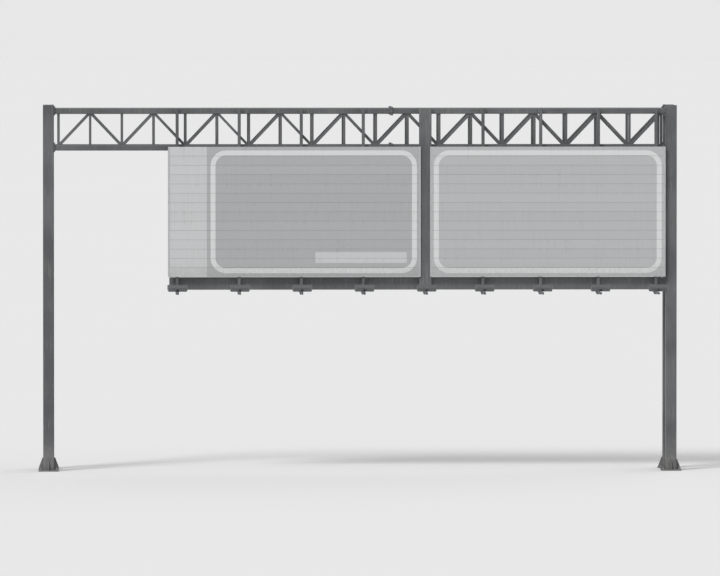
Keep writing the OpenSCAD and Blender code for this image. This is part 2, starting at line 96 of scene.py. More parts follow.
# The signs' sheeting, the bare planks behind it, the trim over their ends and the rubber between them
SIGN_GREY_LEFT = (0.335, 0.340, 0.345)
SIGN_GREY_RIGHT = (0.388, 0.393, 0.398)
SIGN_PALE = (0.485, 0.490, 0.495)
SIGN_BORDER = (0.60, 0.605, 0.61)
SIGN_CELL_LINE = (0.75, 0.75, 0.75)
SIGN_GRIME = (0.21, 0.205, 0.195)
MILL = (0.43, 0.435, 0.44)
MILL_PALE = (0.49, 0.495, 0.50)
TRIM = (0.40, 0.405, 0.41)
TRIM_PALE = (0.52, 0.525, 0.53)
RUBBER_BLACK = (0.028, 0.029, 0.030)
RUBBER_GREY = (0.085, 0.084, 0.081)
# The lights' coat, glass, reflectors and lamps
COAT = (0.080, 0.084, 0.089)
COAT_PALE = (0.105, 0.110, 0.116)
GLASS_CLEAR = (0.93, 0.95, 0.95)
GLASS_DUSTY = (0.80, 0.82, 0.81)
REFLECTOR = (0.74, 0.75, 0.76)
REFLECTOR_BRIGHT = (0.86, 0.87, 0.88)
REFLECTOR_DUSTY = (0.50, 0.49, 0.47)
LAMP_FROST = (0.86, 0.87, 0.85)
FLOOR_COLOUR = (0.74, 0.74, 0.74)

# Stretch of the noise: none, water runs on steelwork and on small things, and the makers' lines
EVEN = (1, 1, 1)
RUN = (1, 1, 0.035)
RUN_SHORT = (1, 1, 0.12)
MILL_LINES = (0.008, 1, 1)
TRIM_LINES = (1, 1, 0.02)
REFLECTOR_LINES = (0.05, 1, 1)
# Values of a mask that fades out as its input rises
FALLING = (1.0, 0.0)

# The signs

PLANKS = 14
# Border: distance from the edge, width, radius of its outer corners and softness of its edges
BORDER_INSET = 0.12
BORDER_WIDTH = 0.16
BORDER_RADIUS = 0.50
BORDER_SOFT = 0.0015
# Pale panels on the left sign: at its left end, and a small bare one low at its right, as (x, z) corners
PANEL_WIDTH = 1.25
SMALL_PANEL = ((-1.45, 6.72), (1.50, 7.07))
SMALL_PANEL_RADIUS = 0.04
PANEL_SOFT = 0.001
# Depth over which the sheeting on a plank gives way to bare metal
SHEET_DEPTHS = (0.0008, 0.0012)
# Distances from a joint between planks over which the painted shadow of its gap, and its grime with some
# painted shade, fade out
JOINT_GAP_SHADE = (0.0008, 0.0018)
JOINT_GRIME_AND_SHADE = (0.001, 0.012)
# Reach of the road's spray up the steelwork, of the grime up a sign and of the runs below a joint
SPRAY_HEIGHT = 1.6
GRIME_HEIGHT = 0.6
RUN_LENGTH = 0.16

# Sizes of the CAD model that the frame's boxes don't tell

BEARER_FLANGE = 0.012
CHANNEL_T = 0.008
SIDE_PLATE_T = 0.010
GUARD_FOOT_HALF = 0.045
GUARD_FOOT_T = 0.008
GRATING_BAR = 0.005
ARM_PLATE_T = 0.010
ARM_PLATE_EDGE = 0.010
ARM_HALF = 0.030
ARM_BOTTOM = 0.045
LIGHT_TILT = math.radians(30)
LIGHT_NORMAL = Vector((0, math.sin(LIGHT_TILT), math.cos(LIGHT_TILT)))
LIGHT_ACROSS = Vector((0, math.cos(LIGHT_TILT), -math.sin(LIGHT_TILT)))
GLASS_T = 0.006
LAMP_BELOW_GLASS = 0.061
LAMP_R = 0.015
# Down from the middle of a light's glass to the seat of its bracket, and from there to the bracket's foot
SEAT_BELOW_GLASS = 0.117
FOOT_BELOW_SEAT = 0.069

# Thread diameters of the bolts

ANCHOR_D = 0.036
BEAM_BOLT_D = 0.022
HANGER_BOLT_D = 0.020
CHANNEL_BOLT_D = 0.016
STANCHION_BOLT_D = 0.012
ARM_BOLT_D = 0.014
GUARD_BOLT_D = 0.010
PLANK_BOLT_D = 0.010
CLIP_SCREW_D = 0.0055
BRACKET_BOLT_D = 0.008

# Sizes of the fillet welds

COLUMN_WELD = 0.010
CHORD_WELD = 0.009
LEG_WELD = 0.008
LACING_WELD = 0.007
HANGER_WELD = 0.006
ARM_WELD = 0.005


# Reading the frame

class Groups:
    """Things sorted into groups by joining them in pairs."""

    def __init__(self):
        self.parent = {}

    def root(self, thing):
        self.parent.setdefault(thing, thing)
        while self.parent[thing] != thing:
            self.parent[thing] = self.parent[self.parent[thing]]
            thing = self.parent[thing]
        return thing

    def join(self, a, b):
        a, b = self.root(a), self.root(b)
        self.parent[a] = b

    def members(self):
        """The things of each group, by the group's root."""
        groups = {}
        for thing in self.parent:
            groups.setdefault(self.root(thing), []).append(thing)
        return groups


def place_key(point):
    """A point as rounded numbers, so that corners in the same place are equal."""
    return tuple(round(c, 5) for c in point)


def encloses(outer, inner):
    """Whether a box lies wholly within another one."""
    return all(outer[0][i] < inner[0][i] and inner[1][i] < outer[1][i] for i in range(3))


def solids(node):
    """Boxes of a node's separate solids, as (lowest, highest) corners, from left to right.

    A closed surface inside another one is a sealed hollow, and so it is left out."""
    mesh = frame["nodes"][node].data
    keys = [place_key(v.co) for v in mesh.vertices]
    joined = Groups()
    for edge in mesh.edges:
        joined.join(keys[edge.vertices[0]], keys[edge.vertices[1]])
    boxes = []
    for points in joined.members().values():
        boxes.append((Vector(min(c) for c in zip(*points)), Vector(max(c) for c in zip(*points))))
    boxes = [b for b in boxes if not any(encloses(other, b) for other in boxes)]
    return sorted(boxes, key=lambda b: (round(b[0].x, 3), round(b[0].y, 3), round(b[0].z, 3)))


# Building meshes

def add_box(bm, lo, hi):
    """A block from its lowest to its highest corner."""
    corners = [Vector((x, y, z)) for x in (lo[0], hi[0]) for y in (lo[1], hi[1]) for z in (lo[2], hi[2])]
    v = [bm.verts.new(c) for c in corners]
    for ids in ((0, 1, 3, 2), (4, 6, 7, 5), (0, 4, 5, 1), (2, 3, 7, 6), (0, 2, 6, 4), (1, 5, 7, 3)):
        bm.faces.new([v[i] for i in ids])


def add_prism(bm, outline, shift):
    """A flat outline of points, pushed along a vector and closed at both ends."""
    a = [bm.verts.new(p) for p in outline]
    b = [bm.verts.new(Vector(p) + shift) for p in outline]
    n = len(outline)
    bm.faces.new(a)
    bm.faces.new(b[::-1])
    for i in range(n):
        bm.faces.new((a[i], b[i], b[(i + 1) % n], a[(i + 1) % n]))


def across(axis):
    """Two unit vectors square to an axis."""
    side = Z if abs(axis.dot(Z)) < 0.9 else X
    u = axis.cross(side).normalized()
    return u, axis.cross(u).normalized()


def close_rings(bm, rings):
    """Skins a row of rings of equal length and closes both ends."""
    bm.faces.new(rings[0][::-1])
    bm.faces.new(rings[-1])
    sides = len(rings[0])
    for low, high in zip(rings, rings[1:]):
        for k in range(sides):
            n = (k + 1) % sides
            bm.faces.new((low[k], low[n], high[n], high[k]))


def add_turned(bm, at, axis, profile, sides, turned=0.0):
    """A closed body of rings: profile holds (radius, height along the axis) from bottom to top."""
    axis = Vector(axis).normalized()
    u, v = across(axis)
    rings = []
    for radius, height in profile:
        rings.append([
            bm.verts.new(at + axis * height + (u * math.cos(a) + v * math.sin(a)) * radius)
            for a in (turned + math.tau * k / sides for k in range(sides))
        ])
    close_rings(bm, rings)


def finish_piece(name, bm, material, smooth=35):
    """Turns a bmesh into a piece that rides on the gantry, with edges above `smooth` degrees kept sharp."""
    mesh = bpy.data.meshes.new(name)
    bmesh.ops.recalc_face_normals(bm, faces=bm.faces)
    bm.to_mesh(mesh)
    bm.free()
    mesh.polygons.foreach_set("use_smooth", [True] * len(mesh.polygons))
    mesh.set_sharp_from_angle(angle=math.radians(smooth))
    piece = bpy.data.objects.new(name, mesh)
    bpy.context.scene.collection.objects.link(piece)
    piece.data.materials.append(material)
    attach(piece, "root")


# Bolts: their sizes are shares of the thread's diameter

WASHER_T = 0.16
WASHER_R = 1.02
WASHER_TOP_R = 0.97
HEXAGON_R = 0.90
NUT_H = 0.80
NUT_TOP_R = 0.78
HEAD_H = 0.64
HEAD_TOP_R = 0.77
STUD = 0.35
STUD_SUNK = 0.10
STUD_END_R = 0.42
THREAD_R = 0.50
THREAD_ROOT_R = 0.45
THREAD_END_R = 0.40
THREAD_PITCH = 0.11
POINT_H = 0.08
# Shares of their own heights where the chamfers start
WASHER_CHAMFER = 0.70
NUT_CHAMFER = 0.82
HEAD_CHAMFER = 0.80
# Sides of the round forms, and the diameter above which a washer has more of them
STUD_SIDES = 12
THREAD_SIDES = 14
WASHER_SIDES = 12
LARGE_WASHER_SIDES = 20
LARGE_BOLT_D = 0.018


def turn():
    """How far a hexagon is turned, left to chance."""
    return random.uniform(0, 1)


def add_washer(bm, at, axis, d):
    """A round washer with a small chamfer. Returns its thickness."""
    t = WASHER_T * d
    sides = LARGE_WASHER_SIDES if d > LARGE_BOLT_D else WASHER_SIDES
    profile = [(WASHER_R * d, 0), (WASHER_R * d, t * WASHER_CHAMFER), (WASHER_TOP_R * d, t)]
    add_turned(bm, at, axis, profile, sides)
    return t


def add_hexagon(bm, at, axis, d, height, chamfer, top_r, turned):
    """A washer with a hexagon on it, which is chamfered from `chamfer` of its height. Returns its top."""
    low = add_washer(bm, at, axis, d)
    profile = [(HEXAGON_R * d, low), (HEXAGON_R * d, low + height * chamfer), (top_r * d, low + height)]
    add_turned(bm, at, axis, profile, 6, turned)
    return low + height


def add_head(bm, at, axis, d, turned=0.0):
    """A washer and the hexagon head of a bolt, standing on a face at `at`."""
    add_hexagon(bm, at, axis, d, HEAD_H * d, HEAD_CHAMFER, HEAD_TOP_R, turned)


def add_nut(bm, at, axis, d, stud=STUD, thread=False, turned=0.0):
    """A washer, a hexagon nut and the end of its bolt, standing on a face at `at`."""
    top = add_hexagon(bm, at, axis, d, NUT_H * d, NUT_CHAMFER, NUT_TOP_R, turned)
    end = top + stud * d
    if not thread:
        profile = [(THREAD_R * d, top - STUD_SUNK * d), (THREAD_R * d, end)]
        profile.append((STUD_END_R * d, end + POINT_H * d))
        add_turned(bm, at, axis, profile, STUD_SIDES)
        return
    pitch = THREAD_PITCH * d
    profile = [(THREAD_R * d, top - pitch)]
    for k in range(int(stud * d / pitch)):
        profile += [(THREAD_R * d, top + k * pitch), (THREAD_ROOT_R * d, top + (k + 0.5) * pitch)]
    profile += [(THREAD_R * d, end), (THREAD_END_R * d, end + POINT_H * d)]
    add_turned(bm, at, axis, profile, THREAD_SIDES)


# Welds

# Shares of a weld's size: how deep it is sunk, how full it is, and how far its ends run on, both together
WELD_SUNK = 0.1
WELD_FULL = 0.6
WELD_OVERRUN = 0.6
# A face rests on a plane when it is at least this square to it and at most this far from it
SQUARE_ON = 0.999
ON_PLANE = 0.0001


def add_weld(bm, p, q, a, b, size):
    """A slightly full fillet along the line from p to q, in the corner between faces along a and b."""
    outline = [p - (a + b) * size * WELD_SUNK, p + a * size, p + (a + b) * size * WELD_FULL, p + b * size]
    add_prism(bm, outline, q - p)


def footprint_edges(node, axis, value):
    """Edges of a node's flat faces on a plane, with the faces of each, and the edges joined to outlines."""
    mesh = frame["nodes"][node].data
    joined, users = Groups(), {}
    for face in mesh.polygons:
        if abs(face.normal[axis]) <= SQUARE_ON or abs(face.center[axis] - value) >= ON_PLANE:
            continue
        keys = [place_key(mesh.vertices[i].co) for i in face.vertices]
        for a, b in zip(keys, keys[1:] + keys[:1]):
            joined.join(a, b)
            users.setdefault(frozenset((a, b)), []).append(face)
    return users, joined


def weld_footprints(bm, node, axis, value, up, size):
    """Fillets round each outline where a node's flat faces rest on a plane, outside its hollows.

    axis and value give the plane, and up is 1 or -1 where the node stands on it or hangs from it."""
    users, joined = footprint_edges(node, axis, value)
    middles = {}
    for root, keys in joined.members().items():
        middles[root] = sum((Vector(k) for k in keys), Vector()) / len(keys)
    n = Vector([up if i == axis else 0 for i in range(3)])
    for ends in sorted(sorted(edge) for edge, faces in users.items() if len(faces) == 1):
        p, q = (Vector(k) for k in ends)
        middle = (p + q) / 2
        out = (q - p).cross(n).normalized()
        if out.dot(users[frozenset(ends)][0].center - middle) > 0:
            out = -out
        if out.dot(middle - middles[joined.root(ends[0])]) <= 0:
            continue
        along = (q - p).normalized() * min(size * WELD_OVERRUN, (q - p).length)
        add_weld(bm, p - along * 0.5, q + along * 0.5, out, n, size)


def weld_ends(bm, node, axis, size):
    """Fillets where a node's faces end at both sides of a gap."""
    lo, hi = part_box(node)
    weld_footprints(bm, node, axis, lo[axis], 1, size)
    weld_footprints(bm, node, axis, hi[axis], -1, size)


def weld_square(bm, centre, u, v, n, half, size):
    """Fillets round a square that stands on a face square to n."""
    for a, b in ((u, v), (v, u)):
        for s in (-1, 1):
            middle = centre + a * (s * half)
            add_weld(bm, middle - b * half, middle + b * half, a * s, n, size)


# Materials

class Nodes:
    """Short ways to add and join shader nodes.

    Noise takes a scale to the metre, detail and roughness, a mask the levels that it is cut between, and
    a stain its strength. Radii and distances are metres."""

    def __init__(self, name):
        self.material = bpy.data.materials.new(name)
        self.material.use_nodes = True
        self.tree = self.material.node_tree
        self.shader = self.tree.nodes["Principled BSDF"]
        self.place = self.add("ShaderNodeTexCoord").outputs["Object"]

    def add(self, kind, **values):
        node = self.tree.nodes.new(kind)
        for key, value in values.items():
            setattr(node, key, value)
        return node

    def link(self, source, target):
        self.tree.links.new(source, target)

    def put(self, target, value):
        """Links a socket or sets a plain value."""
        if isinstance(value, bpy.types.NodeSocket):
            self.link(value, target)
        else:
            target.default_value = value

    def math(self, operation, a, b=0.0):
        node = self.add("ShaderNodeMath", operation=operation)
        self.put(node.inputs[0], a)
        self.put(node.inputs[1], b)
        return node.outputs[0]

    def mix(self, factor, a, b):
        node = self.add("ShaderNodeMix", data_type="RGBA", blend_type="MIX")
        self.put(node.inputs[0], factor)
        self.put(node.inputs[6], (*a, 1) if isinstance(a, tuple) else a)
        self.put(node.inputs[7], (*b, 1) if isinstance(b, tuple) else b)
        return node.outputs[2]

    def noise(self, scale, detail=4.0, rough=0.55, stretch=EVEN):
        """Noise of a scale to the metre."""
        mapping = self.add("ShaderNodeMapping")
        self.link(self.place, mapping.inputs["Vector"])
        mapping.inputs["Scale"].default_value = stretch
        node = self.add("ShaderNodeTexNoise")
        self.link(mapping.outputs["Vector"], node.inputs["Vector"])
        node.inputs["Scale"].default_value = scale
        node.inputs["Detail"].default_value = detail
        node.inputs["Roughness"].default_value = rough
        return node.outputs["Fac"]

    def cells(self, scale, output="Color", feature="F1"):
        node = self.add("ShaderNodeTexVoronoi", feature=feature)
        self.link(self.place, node.inputs["Vector"])
        node.inputs["Scale"].default_value = scale
        return node.outputs[output]

    def span(self, source, levels, values=(0.0, 1.0)):
        """Takes a mask from one value to the other as its source goes from one level to the other."""
        node = self.add("ShaderNodeMapRange", interpolation_type="SMOOTHSTEP")
        self.put(node.inputs["Value"], source)
        node.inputs["From Min"].default_value, node.inputs["From Max"].default_value = levels
        node.inputs["To Min"].default_value, node.inputs["To Max"].default_value = values
        return node.outputs["Result"]

    def patches(self, scale, levels, detail=4.0, rough=0.55, stretch=EVEN, values=(0.0, 1.0)):
        """A mask of soft patches: noise that is cut between two of its levels."""
        return self.span(self.noise(scale, detail, rough, stretch), levels, values)

    def xyz(self):
        node = self.add("ShaderNodeSeparateXYZ")
        self.link(self.place, node.inputs[0])
        return node.outputs[0], node.outputs[1], node.outputs[2]

    def facing_up(self):
        """The upward part of the surface's own normal: one on tops, none on walls."""
        parts = self.add("ShaderNodeSeparateXYZ")
        self.link(self.add("ShaderNodeNewGeometry").outputs["True Normal"], parts.inputs[0])
        return parts.outputs[2]

    def tops(self, up, levels=(0.5, 0.9)):
        """One on surfaces that face up."""
        return self.span(up, levels)

    def walls(self, up, levels=(0.3, 0.7)):
        """One on surfaces that face neither up nor down."""
        return self.span(self.math("ABSOLUTE", up), levels, FALLING)

    def stain(self, tone, mask, strength, colour):
        """Lays a colour over a tone where a mask is set."""
        return self.mix(self.math("MULTIPLY", mask, strength), tone, colour)

    def both(self, *masks):
        """The product of masks."""
        product = masks[0]
        for mask in masks[1:]:
            product = self.math("MULTIPLY", product, mask)
        return product

    def rounded_normal(self, radius):
        """The normal as if edges were rounded."""
        bevel = self.add("ShaderNodeBevel", samples=4)
        bevel.inputs["Radius"].default_value = radius
        return bevel.outputs[0]

    def edge_mask(self, radius):
        """One near sharp outer edges, from how far a rounded normal turns from the real one."""
        dot = self.add("ShaderNodeVectorMath", operation="DOT_PRODUCT")
        self.link(self.rounded_normal(radius), dot.inputs[0])
        self.link(self.add("ShaderNodeNewGeometry").outputs["Normal"], dot.inputs[1])
        return self.span(self.math("SUBTRACT", 1.0, dot.outputs["Value"]), (0.02, 0.22))

    def bump(self, height, strength, distance, edge_radius=0.0):
        """Relief, over edges that are rounded where a radius is given."""
        node = self.add("ShaderNodeBump")
        self.link(height, node.inputs["Height"])
        node.inputs["Strength"].default_value = strength
        node.inputs["Distance"].default_value = distance
        if edge_radius:
            self.link(self.rounded_normal(edge_radius), node.inputs["Normal"])
        self.link(node.outputs[0], self.shader.inputs["Normal"])

    def colour(self, value):
        self.put(self.shader.inputs["Base Color"], value)

    def rough(self, value):
        self.put(self.shader.inputs["Roughness"], value)

    def metal(self, value):
        self.put(self.shader.inputs["Metallic"], value)


def painted_steel():
    """Dark grey paint on steel: fading, water runs, dust on tops, chipped edges and a little rust."""
    n = Nodes("painted_steel")
    up = n.facing_up()
    wall = n.walls(up)
    tone = n.mix(n.patches(0.45, (0.35, 0.65), 2), STEEL_PAINT, STEEL_PAINT_PALE)
    tone = n.stain(tone, n.patches(26.0, (0.46, 0.66), 7, 0.72), 0.30, PAINT_FADED)
    pale_runs = n.both(wall, n.patches(34.0, (0.53, 0.64), 4, 0.55, RUN), n.patches(1.6, (0.40, 0.60), 3))
    tone = n.stain(tone, pale_runs, 0.28, DUST)
    dark_runs = n.both(wall, n.patches(52.0, (0.56, 0.66), 3, 0.5, RUN))
    tone = n.stain(tone, dark_runs, 0.36, PAINT_WET_AND_GAP_SHADE)
    dust = n.both(n.tops(up), n.patches(70.0, (0.30, 0.70), 6, 0.65, values=(0.35, 1.0)))
    tone = n.stain(tone, dust, 0.50, DUST)
    low = n.span(n.xyz()[2], (0.0, SPRAY_HEIGHT), FALLING)
    film = n.both(low, n.patches(6.0, (0.30, 0.70), 6, 0.65, values=(0.35, 1.0)))
    tone = n.stain(tone, film, 0.38, DUST)
    specks = n.both(low, n.patches(150.0, (0.56, 0.64), 4, 0.7))
    tone = n.stain(tone, specks, 0.45, DUST)
    spots = n.patches(31.0, (0.715, 0.745), 3, 0.5)
    drips = n.both(wall, n.patches(66.0, (0.60, 0.68), 2, 0.5, RUN), n.patches(1.9, (0.60, 0.68), 2))
    tone = n.stain(tone, n.math("MAXIMUM", spots, drips), 0.60, RUST)
    chips = n.both(n.edge_mask(0.005), n.patches(85.0, (0.50, 0.54), 5, 0.6))
    tone = n.mix(chips, tone, n.mix(n.patches(120.0, (0.50, 0.56), 2), PRIMER, RUST))
    n.colour(tone)
    n.rough(n.patches(40.0, (0.35, 0.65), 6, 0.65, values=(0.36, 0.60)))
    n.bump(n.noise(420.0, 3), 0.22, 0.0009, 0.004)
    return n.material


def galvanised_steel():
    """Weathered zinc: spangle, pale bloom, fine runs and dust on tops."""
    n = Nodes("galvanised_steel")
    up = n.facing_up()
    to_grey = n.add("ShaderNodeRGBToBW")
    n.link(n.cells(62.0), to_grey.inputs[0])
    spangle = to_grey.outputs[0]
    tone = n.mix(n.math("MULTIPLY", spangle, 0.60), ZINC, ZINC_BRIGHT)
    tone = n.stain(tone, n.patches(14.0, (0.50, 0.64), 8, 0.75), 0.35, ZINC_BLOOM)
    runs = n.both(n.walls(up), n.patches(58.0, (0.54, 0.66), 4, 0.5, RUN))
    tone = n.stain(tone, runs, 0.45, ZINC_DULL)
    dust = n.both(n.tops(up), n.patches(90.0, (0.35, 0.65), 5, 0.6))
    tone = n.stain(tone, dust, 0.35, DUST)
    n.colour(tone)
    n.metal(0.55)
    n.rough(n.span(spangle, (0.0, 1.0), (0.36, 0.60)))
    n.bump(n.noise(240.0, 3), 0.15, 0.0008, 0.002)
    return n.material


def bolt_steel():
    """Zinc-plated bolts, dull in patches, with a trace of rust."""
    n = Nodes("bolt_steel")
    tone = n.mix(n.patches(120.0, (0.4, 0.65), 3), BOLT_ZINC, BOLT_ZINC_DULL)
    n.colour(n.stain(tone, n.patches(45.0, (0.56, 0.7)), 0.6, RUST))
    n.metal(0.6)
    n.rough(n.patches(80.0, (0.3, 0.7), 2, values=(0.38, 0.6)))
    n.bump(n.noise(500.0, 2), 0.2, 0.0006)
    return n.material


def weld_steel():
    """Weld beads under the frame's paint, with fine ripples."""
    n = Nodes("weld_steel")
    n.colour(n.mix(n.patches(90.0, (0.36, 0.66), 6, 0.7), STEEL_PAINT, PAINT_FADED))
    n.rough(n.patches(60.0, (0.3, 0.7), 3, values=(0.42, 0.58)))
    ripple = n.add("ShaderNodeTexWave", wave_type="BANDS", bands_direction="DIAGONAL")
    n.link(n.place, ripple.inputs["Vector"])
    ripple.inputs["Scale"].default_value = 120.0
    ripple.inputs["Distortion"].default_value = 1.5
    n.bump(ripple.outputs["Fac"], 0.30, 0.0006)
    return n.material


def scaled(colour, times):
    """A colour that is a little paler or darker."""
    return tuple(c * times for c in colour)


class SignNodes(Nodes):
    """Shader nodes that know where the planks of one sign are."""

    def __init__(self, name, box):
        super().__init__(name)
        self.lo, self.hi = box
        self.x, self.y, self.z = self.xyz()
        pitch = (self.hi.z - self.lo.z) / PLANKS
        row = self.math("DIVIDE", self.math("SUBTRACT", self.z, self.lo.z), pitch)
        chance = self.add("ShaderNodeTexWhiteNoise", noise_dimensions="1D")
        self.link(self.math("ADD", self.math("FLOOR", row), self.lo.x), chance.inputs["W"])
        self.chance = chance.outputs["Value"]
        above_joint = self.math("MULTIPLY", self.math("FRACT", row), pitch)
        self.below_joint = self.math("SUBTRACT", pitch, above_joint)
        self.to_joint = self.math("MINIMUM", above_joint, self.below_joint)
        self.runs = self.patches(26.0, (0.52, 0.68), 4, 0.55, RUN)

    def round_rect(self, low, high, radius):
        """Signed distance in the XZ plane to a rectangle with round corners, negative inside."""
        outside = []
        for place, a, b in ((self.x, low[0], high[0]), (self.z, low[1], high[1])):
            from_middle = self.math("ABSOLUTE", self.math("SUBTRACT", place, (a + b) / 2))
            outside.append(self.math("SUBTRACT", from_middle, (b - a) / 2 - radius))
        squares = []
        for d in outside:
            positive = self.math("MAXIMUM", d, 0.0)
            squares.append(self.math("MULTIPLY", positive, positive))
        corner = self.math("SQRT", self.math("ADD", *squares))
        inside = self.math("MINIMUM", self.math("MAXIMUM", *outside), 0.0)
        return self.math("SUBTRACT", self.math("ADD", corner, inside), radius)

    def border(self, start):
        """One on the border round the part of the sign to the right of start."""
        low = (start + BORDER_INSET, self.lo.z + BORDER_INSET)
        high = (self.hi.x - BORDER_INSET, self.hi.z - BORDER_INSET)
        distance = self.round_rect(low, high, BORDER_RADIUS)
        inner = self.span(distance, (-BORDER_WIDTH - BORDER_SOFT, -BORDER_WIDTH + BORDER_SOFT))
        return self.both(inner, self.span(distance, (-BORDER_SOFT, BORDER_SOFT), FALLING))

    def pale_panels(self, start, small_panel):
        """Masks of the panel to the left of start and of the small one, where the sign has them."""
        masks = []
        if start > self.lo.x:
            masks.append(self.span(self.x, (start - PANEL_SOFT, start + PANEL_SOFT), FALLING))
        if small_panel:
            distance = self.round_rect(*small_panel, SMALL_PANEL_RADIUS)
            masks.append(self.span(distance, (-PANEL_SOFT, PANEL_SOFT), FALLING))
        return masks

    def sheeting(self, grey, end_panel, small_panel):
        """Colour of the front: sheeting that differs from plank to plank, with its border, dirt and painted
        shade along the joints between planks.
        """
        start = self.lo.x + end_panel
        tone = self.mix(self.chance, grey, scaled(grey, 1.07))
        for mask in self.pale_panels(start, small_panel):
            tone = self.mix(mask, tone, self.mix(self.chance, SIGN_PALE, scaled(SIGN_PALE, 1.04)))
        tone = self.mix(self.border(start), tone, SIGN_BORDER)
        to_cell_edge = self.cells(300.0, "Distance", "DISTANCE_TO_EDGE")
        tone = self.stain(tone, self.span(to_cell_edge, (0.02, 0.09), FALLING), 0.14, SIGN_CELL_LINE)
        tone = self.stain(tone, self.patches(9.0, (0.48, 0.70), 8, 0.7), 0.10, SIGN_PALE)
        under_joint = self.span(self.below_joint, (0.0, RUN_LENGTH), (1.0, 0.25))
        tone = self.stain(tone, self.both(self.runs, under_joint), 0.26, SIGN_GRIME)
        # Grime along each joint, partly painted shade, then a thin near-black line of painted shadow where
        # the gap is
        tone = self.stain(tone, self.span(self.to_joint, JOINT_GRIME_AND_SHADE, FALLING), 0.34, SIGN_GRIME)
        tone = self.stain(tone, self.span(self.to_joint, JOINT_GAP_SHADE, FALLING), 0.75, PAINT_WET_AND_GAP_SHADE)
        low = self.span(self.z, (self.lo.z, self.lo.z + GRIME_HEIGHT), FALLING)
        grime = self.both(low, self.patches(12.0, (0.35, 0.65), 7, 0.65, values=(0.3, 1.0)))
        return self.stain(tone, grime, 0.30, SIGN_GRIME)

    def bare_planks(self):
        """Colour of the back: extruded aluminium with fine lines, runs and dust on its ledges."""
        up = self.facing_up()
        tone = self.mix(self.chance, MILL, MILL_PALE)
        tone = self.stain(tone, self.patches(210.0, (0.35, 0.65), 3, 0.5, MILL_LINES), 0.16, ZINC_DULL)
        tone = self.stain(tone, self.patches(22.0, (0.50, 0.68), 8, 0.75), 0.16, ZINC_DULL)
        tone = self.stain(tone, self.both(self.walls(up), self.runs), 0.30, ZINC_DULL)
        return self.stain(tone, self.tops(up), 0.55, DUST)


def sign_sheet(name, box, grey, end_panel=0.0, small_panel=None):
    """Reflective sheeting on the front of aluminium planks, which are bare behind it.

    end_panel is how much of the sign's left end is paler, and small_panel holds the (x, z) corners of
    a pale bar."""
    n = SignNodes(name, box)
    behind = n.span(n.y, [n.lo.y + depth for depth in SHEET_DEPTHS])
    n.colour(n.mix(behind, n.sheeting(grey, end_panel, small_panel), n.bare_planks()))
    n.metal(n.math("MULTIPLY", behind, 0.55))
    n.rough(n.patches(60.0, (0.35, 0.65), 5, 0.6, values=(0.30, 0.48)))
    n.bump(n.noise(260.0, 2), 0.12, 0.0006)
    return n.material


def aluminium():
    """Extruded aluminium, dull from the weather, with fine lines along its length."""
    n = Nodes("aluminium")
    lines = n.noise(180.0, 3, 0.5, TRIM_LINES)
    n.colour(n.mix(n.span(lines, (0.35, 0.65)), TRIM, TRIM_PALE))
    n.metal(0.7)
    n.rough(n.patches(25.0, (0.3, 0.7), values=(0.38, 0.55)))
    n.bump(lines, 0.08, 0.0005, 0.001)
    return n.material


def rubber():
    """Black rubber that has gone grey in patches."""
    n = Nodes("rubber")
    n.colour(n.mix(n.patches(60.0, (0.40, 0.68), 5, 0.6), RUBBER_BLACK, RUBBER_GREY))
    n.rough(n.patches(90.0, (0.3, 0.7), 3, values=(0.60, 0.80)))
    n.bump(n.noise(600.0, 2), 0.15, 0.0004)
    return n.material


def light_housing():
    """Grey powder coat: a fine grain, runs down the sides, dust on tops and worn edges."""
    n = Nodes("light_housing")
    up = n.facing_up()
    tone = n.mix(n.patches(320.0, (0.35, 0.65), 2), COAT, COAT_PALE)
    runs = n.both(n.walls(up, (0.55, 0.80)), n.patches(75.0, (0.54, 0.66), 4, 0.5, RUN_SHORT))
    tone = n.stain(tone, runs, 0.26, DUST)
    dust = n.both(n.tops(up, (0.4, 0.9)), n.patches(160.0, (0.35, 0.65), 6, 0.7))
    tone = n.stain(tone, dust, 0.45, DUST)
    worn = n.both(n.edge_mask(0.0025), n.patches(150.0, (0.48, 0.54), 4, 0.6))
    n.colour(n.mix(worn, tone, PRIMER))
    n.rough(n.patches(110.0, (0.35, 0.65), values=(0.40, 0.56)))
    n.bump(n.noise(1100.0, 2), 0.18, 0.0004, 0.0025)
    return n.material


def light_glass():
    """Toughened glass with a faint film of dust."""
    n = Nodes("light_glass")
    n.shader.inputs["Transmission Weight"].default_value = 0.92
    n.shader.inputs["IOR"].default_value = 1.5
    n.colour(n.mix(n.patches(18.0, (0.4, 0.7)), GLASS_CLEAR, GLASS_DUSTY))
    n.rough(n.patches(25.0, (0.4, 0.75), 5, values=(0.03, 0.22)))
    return n.material


def light_inside():
    """Bright rolled aluminium, and frosted glass at the lamp in the middle of each light."""
    n = Nodes("light_inside")
    lo, hi = solids("light_glasses")[0]
    axis = (lo + hi) / 2 - LIGHT_NORMAL * LAMP_BELOW_GLASS
    _, y, z = n.xyz()
    dy, dz = n.math("SUBTRACT", y, axis.y), n.math("SUBTRACT", z, axis.z)
    away = n.math("SQRT", n.math("ADD", n.math("MULTIPLY", dy, dy), n.math("MULTIPLY", dz, dz)))
    lamp = n.span(away, (LAMP_R + 0.0005, LAMP_R + 0.0015), FALLING)
    sheet = n.mix(n.patches(90.0, (0.3, 0.7), 3, 0.5, REFLECTOR_LINES), REFLECTOR, REFLECTOR_BRIGHT)
    sheet = n.stain(sheet, n.patches(30.0, (0.50, 0.66), 6, 0.7), 0.30, REFLECTOR_DUSTY)
    n.colour(n.mix(lamp, sheet, LAMP_FROST))
    n.metal(n.span(lamp, (0.0, 1.0), (0.95, 0.0)))
    polish = n.patches(40.0, (0.3, 0.7), 2, values=(0.16, 0.28))
    n.rough(n.math("MAXIMUM", polish, n.math("MULTIPLY", lamp, 0.45)))
    return n.material


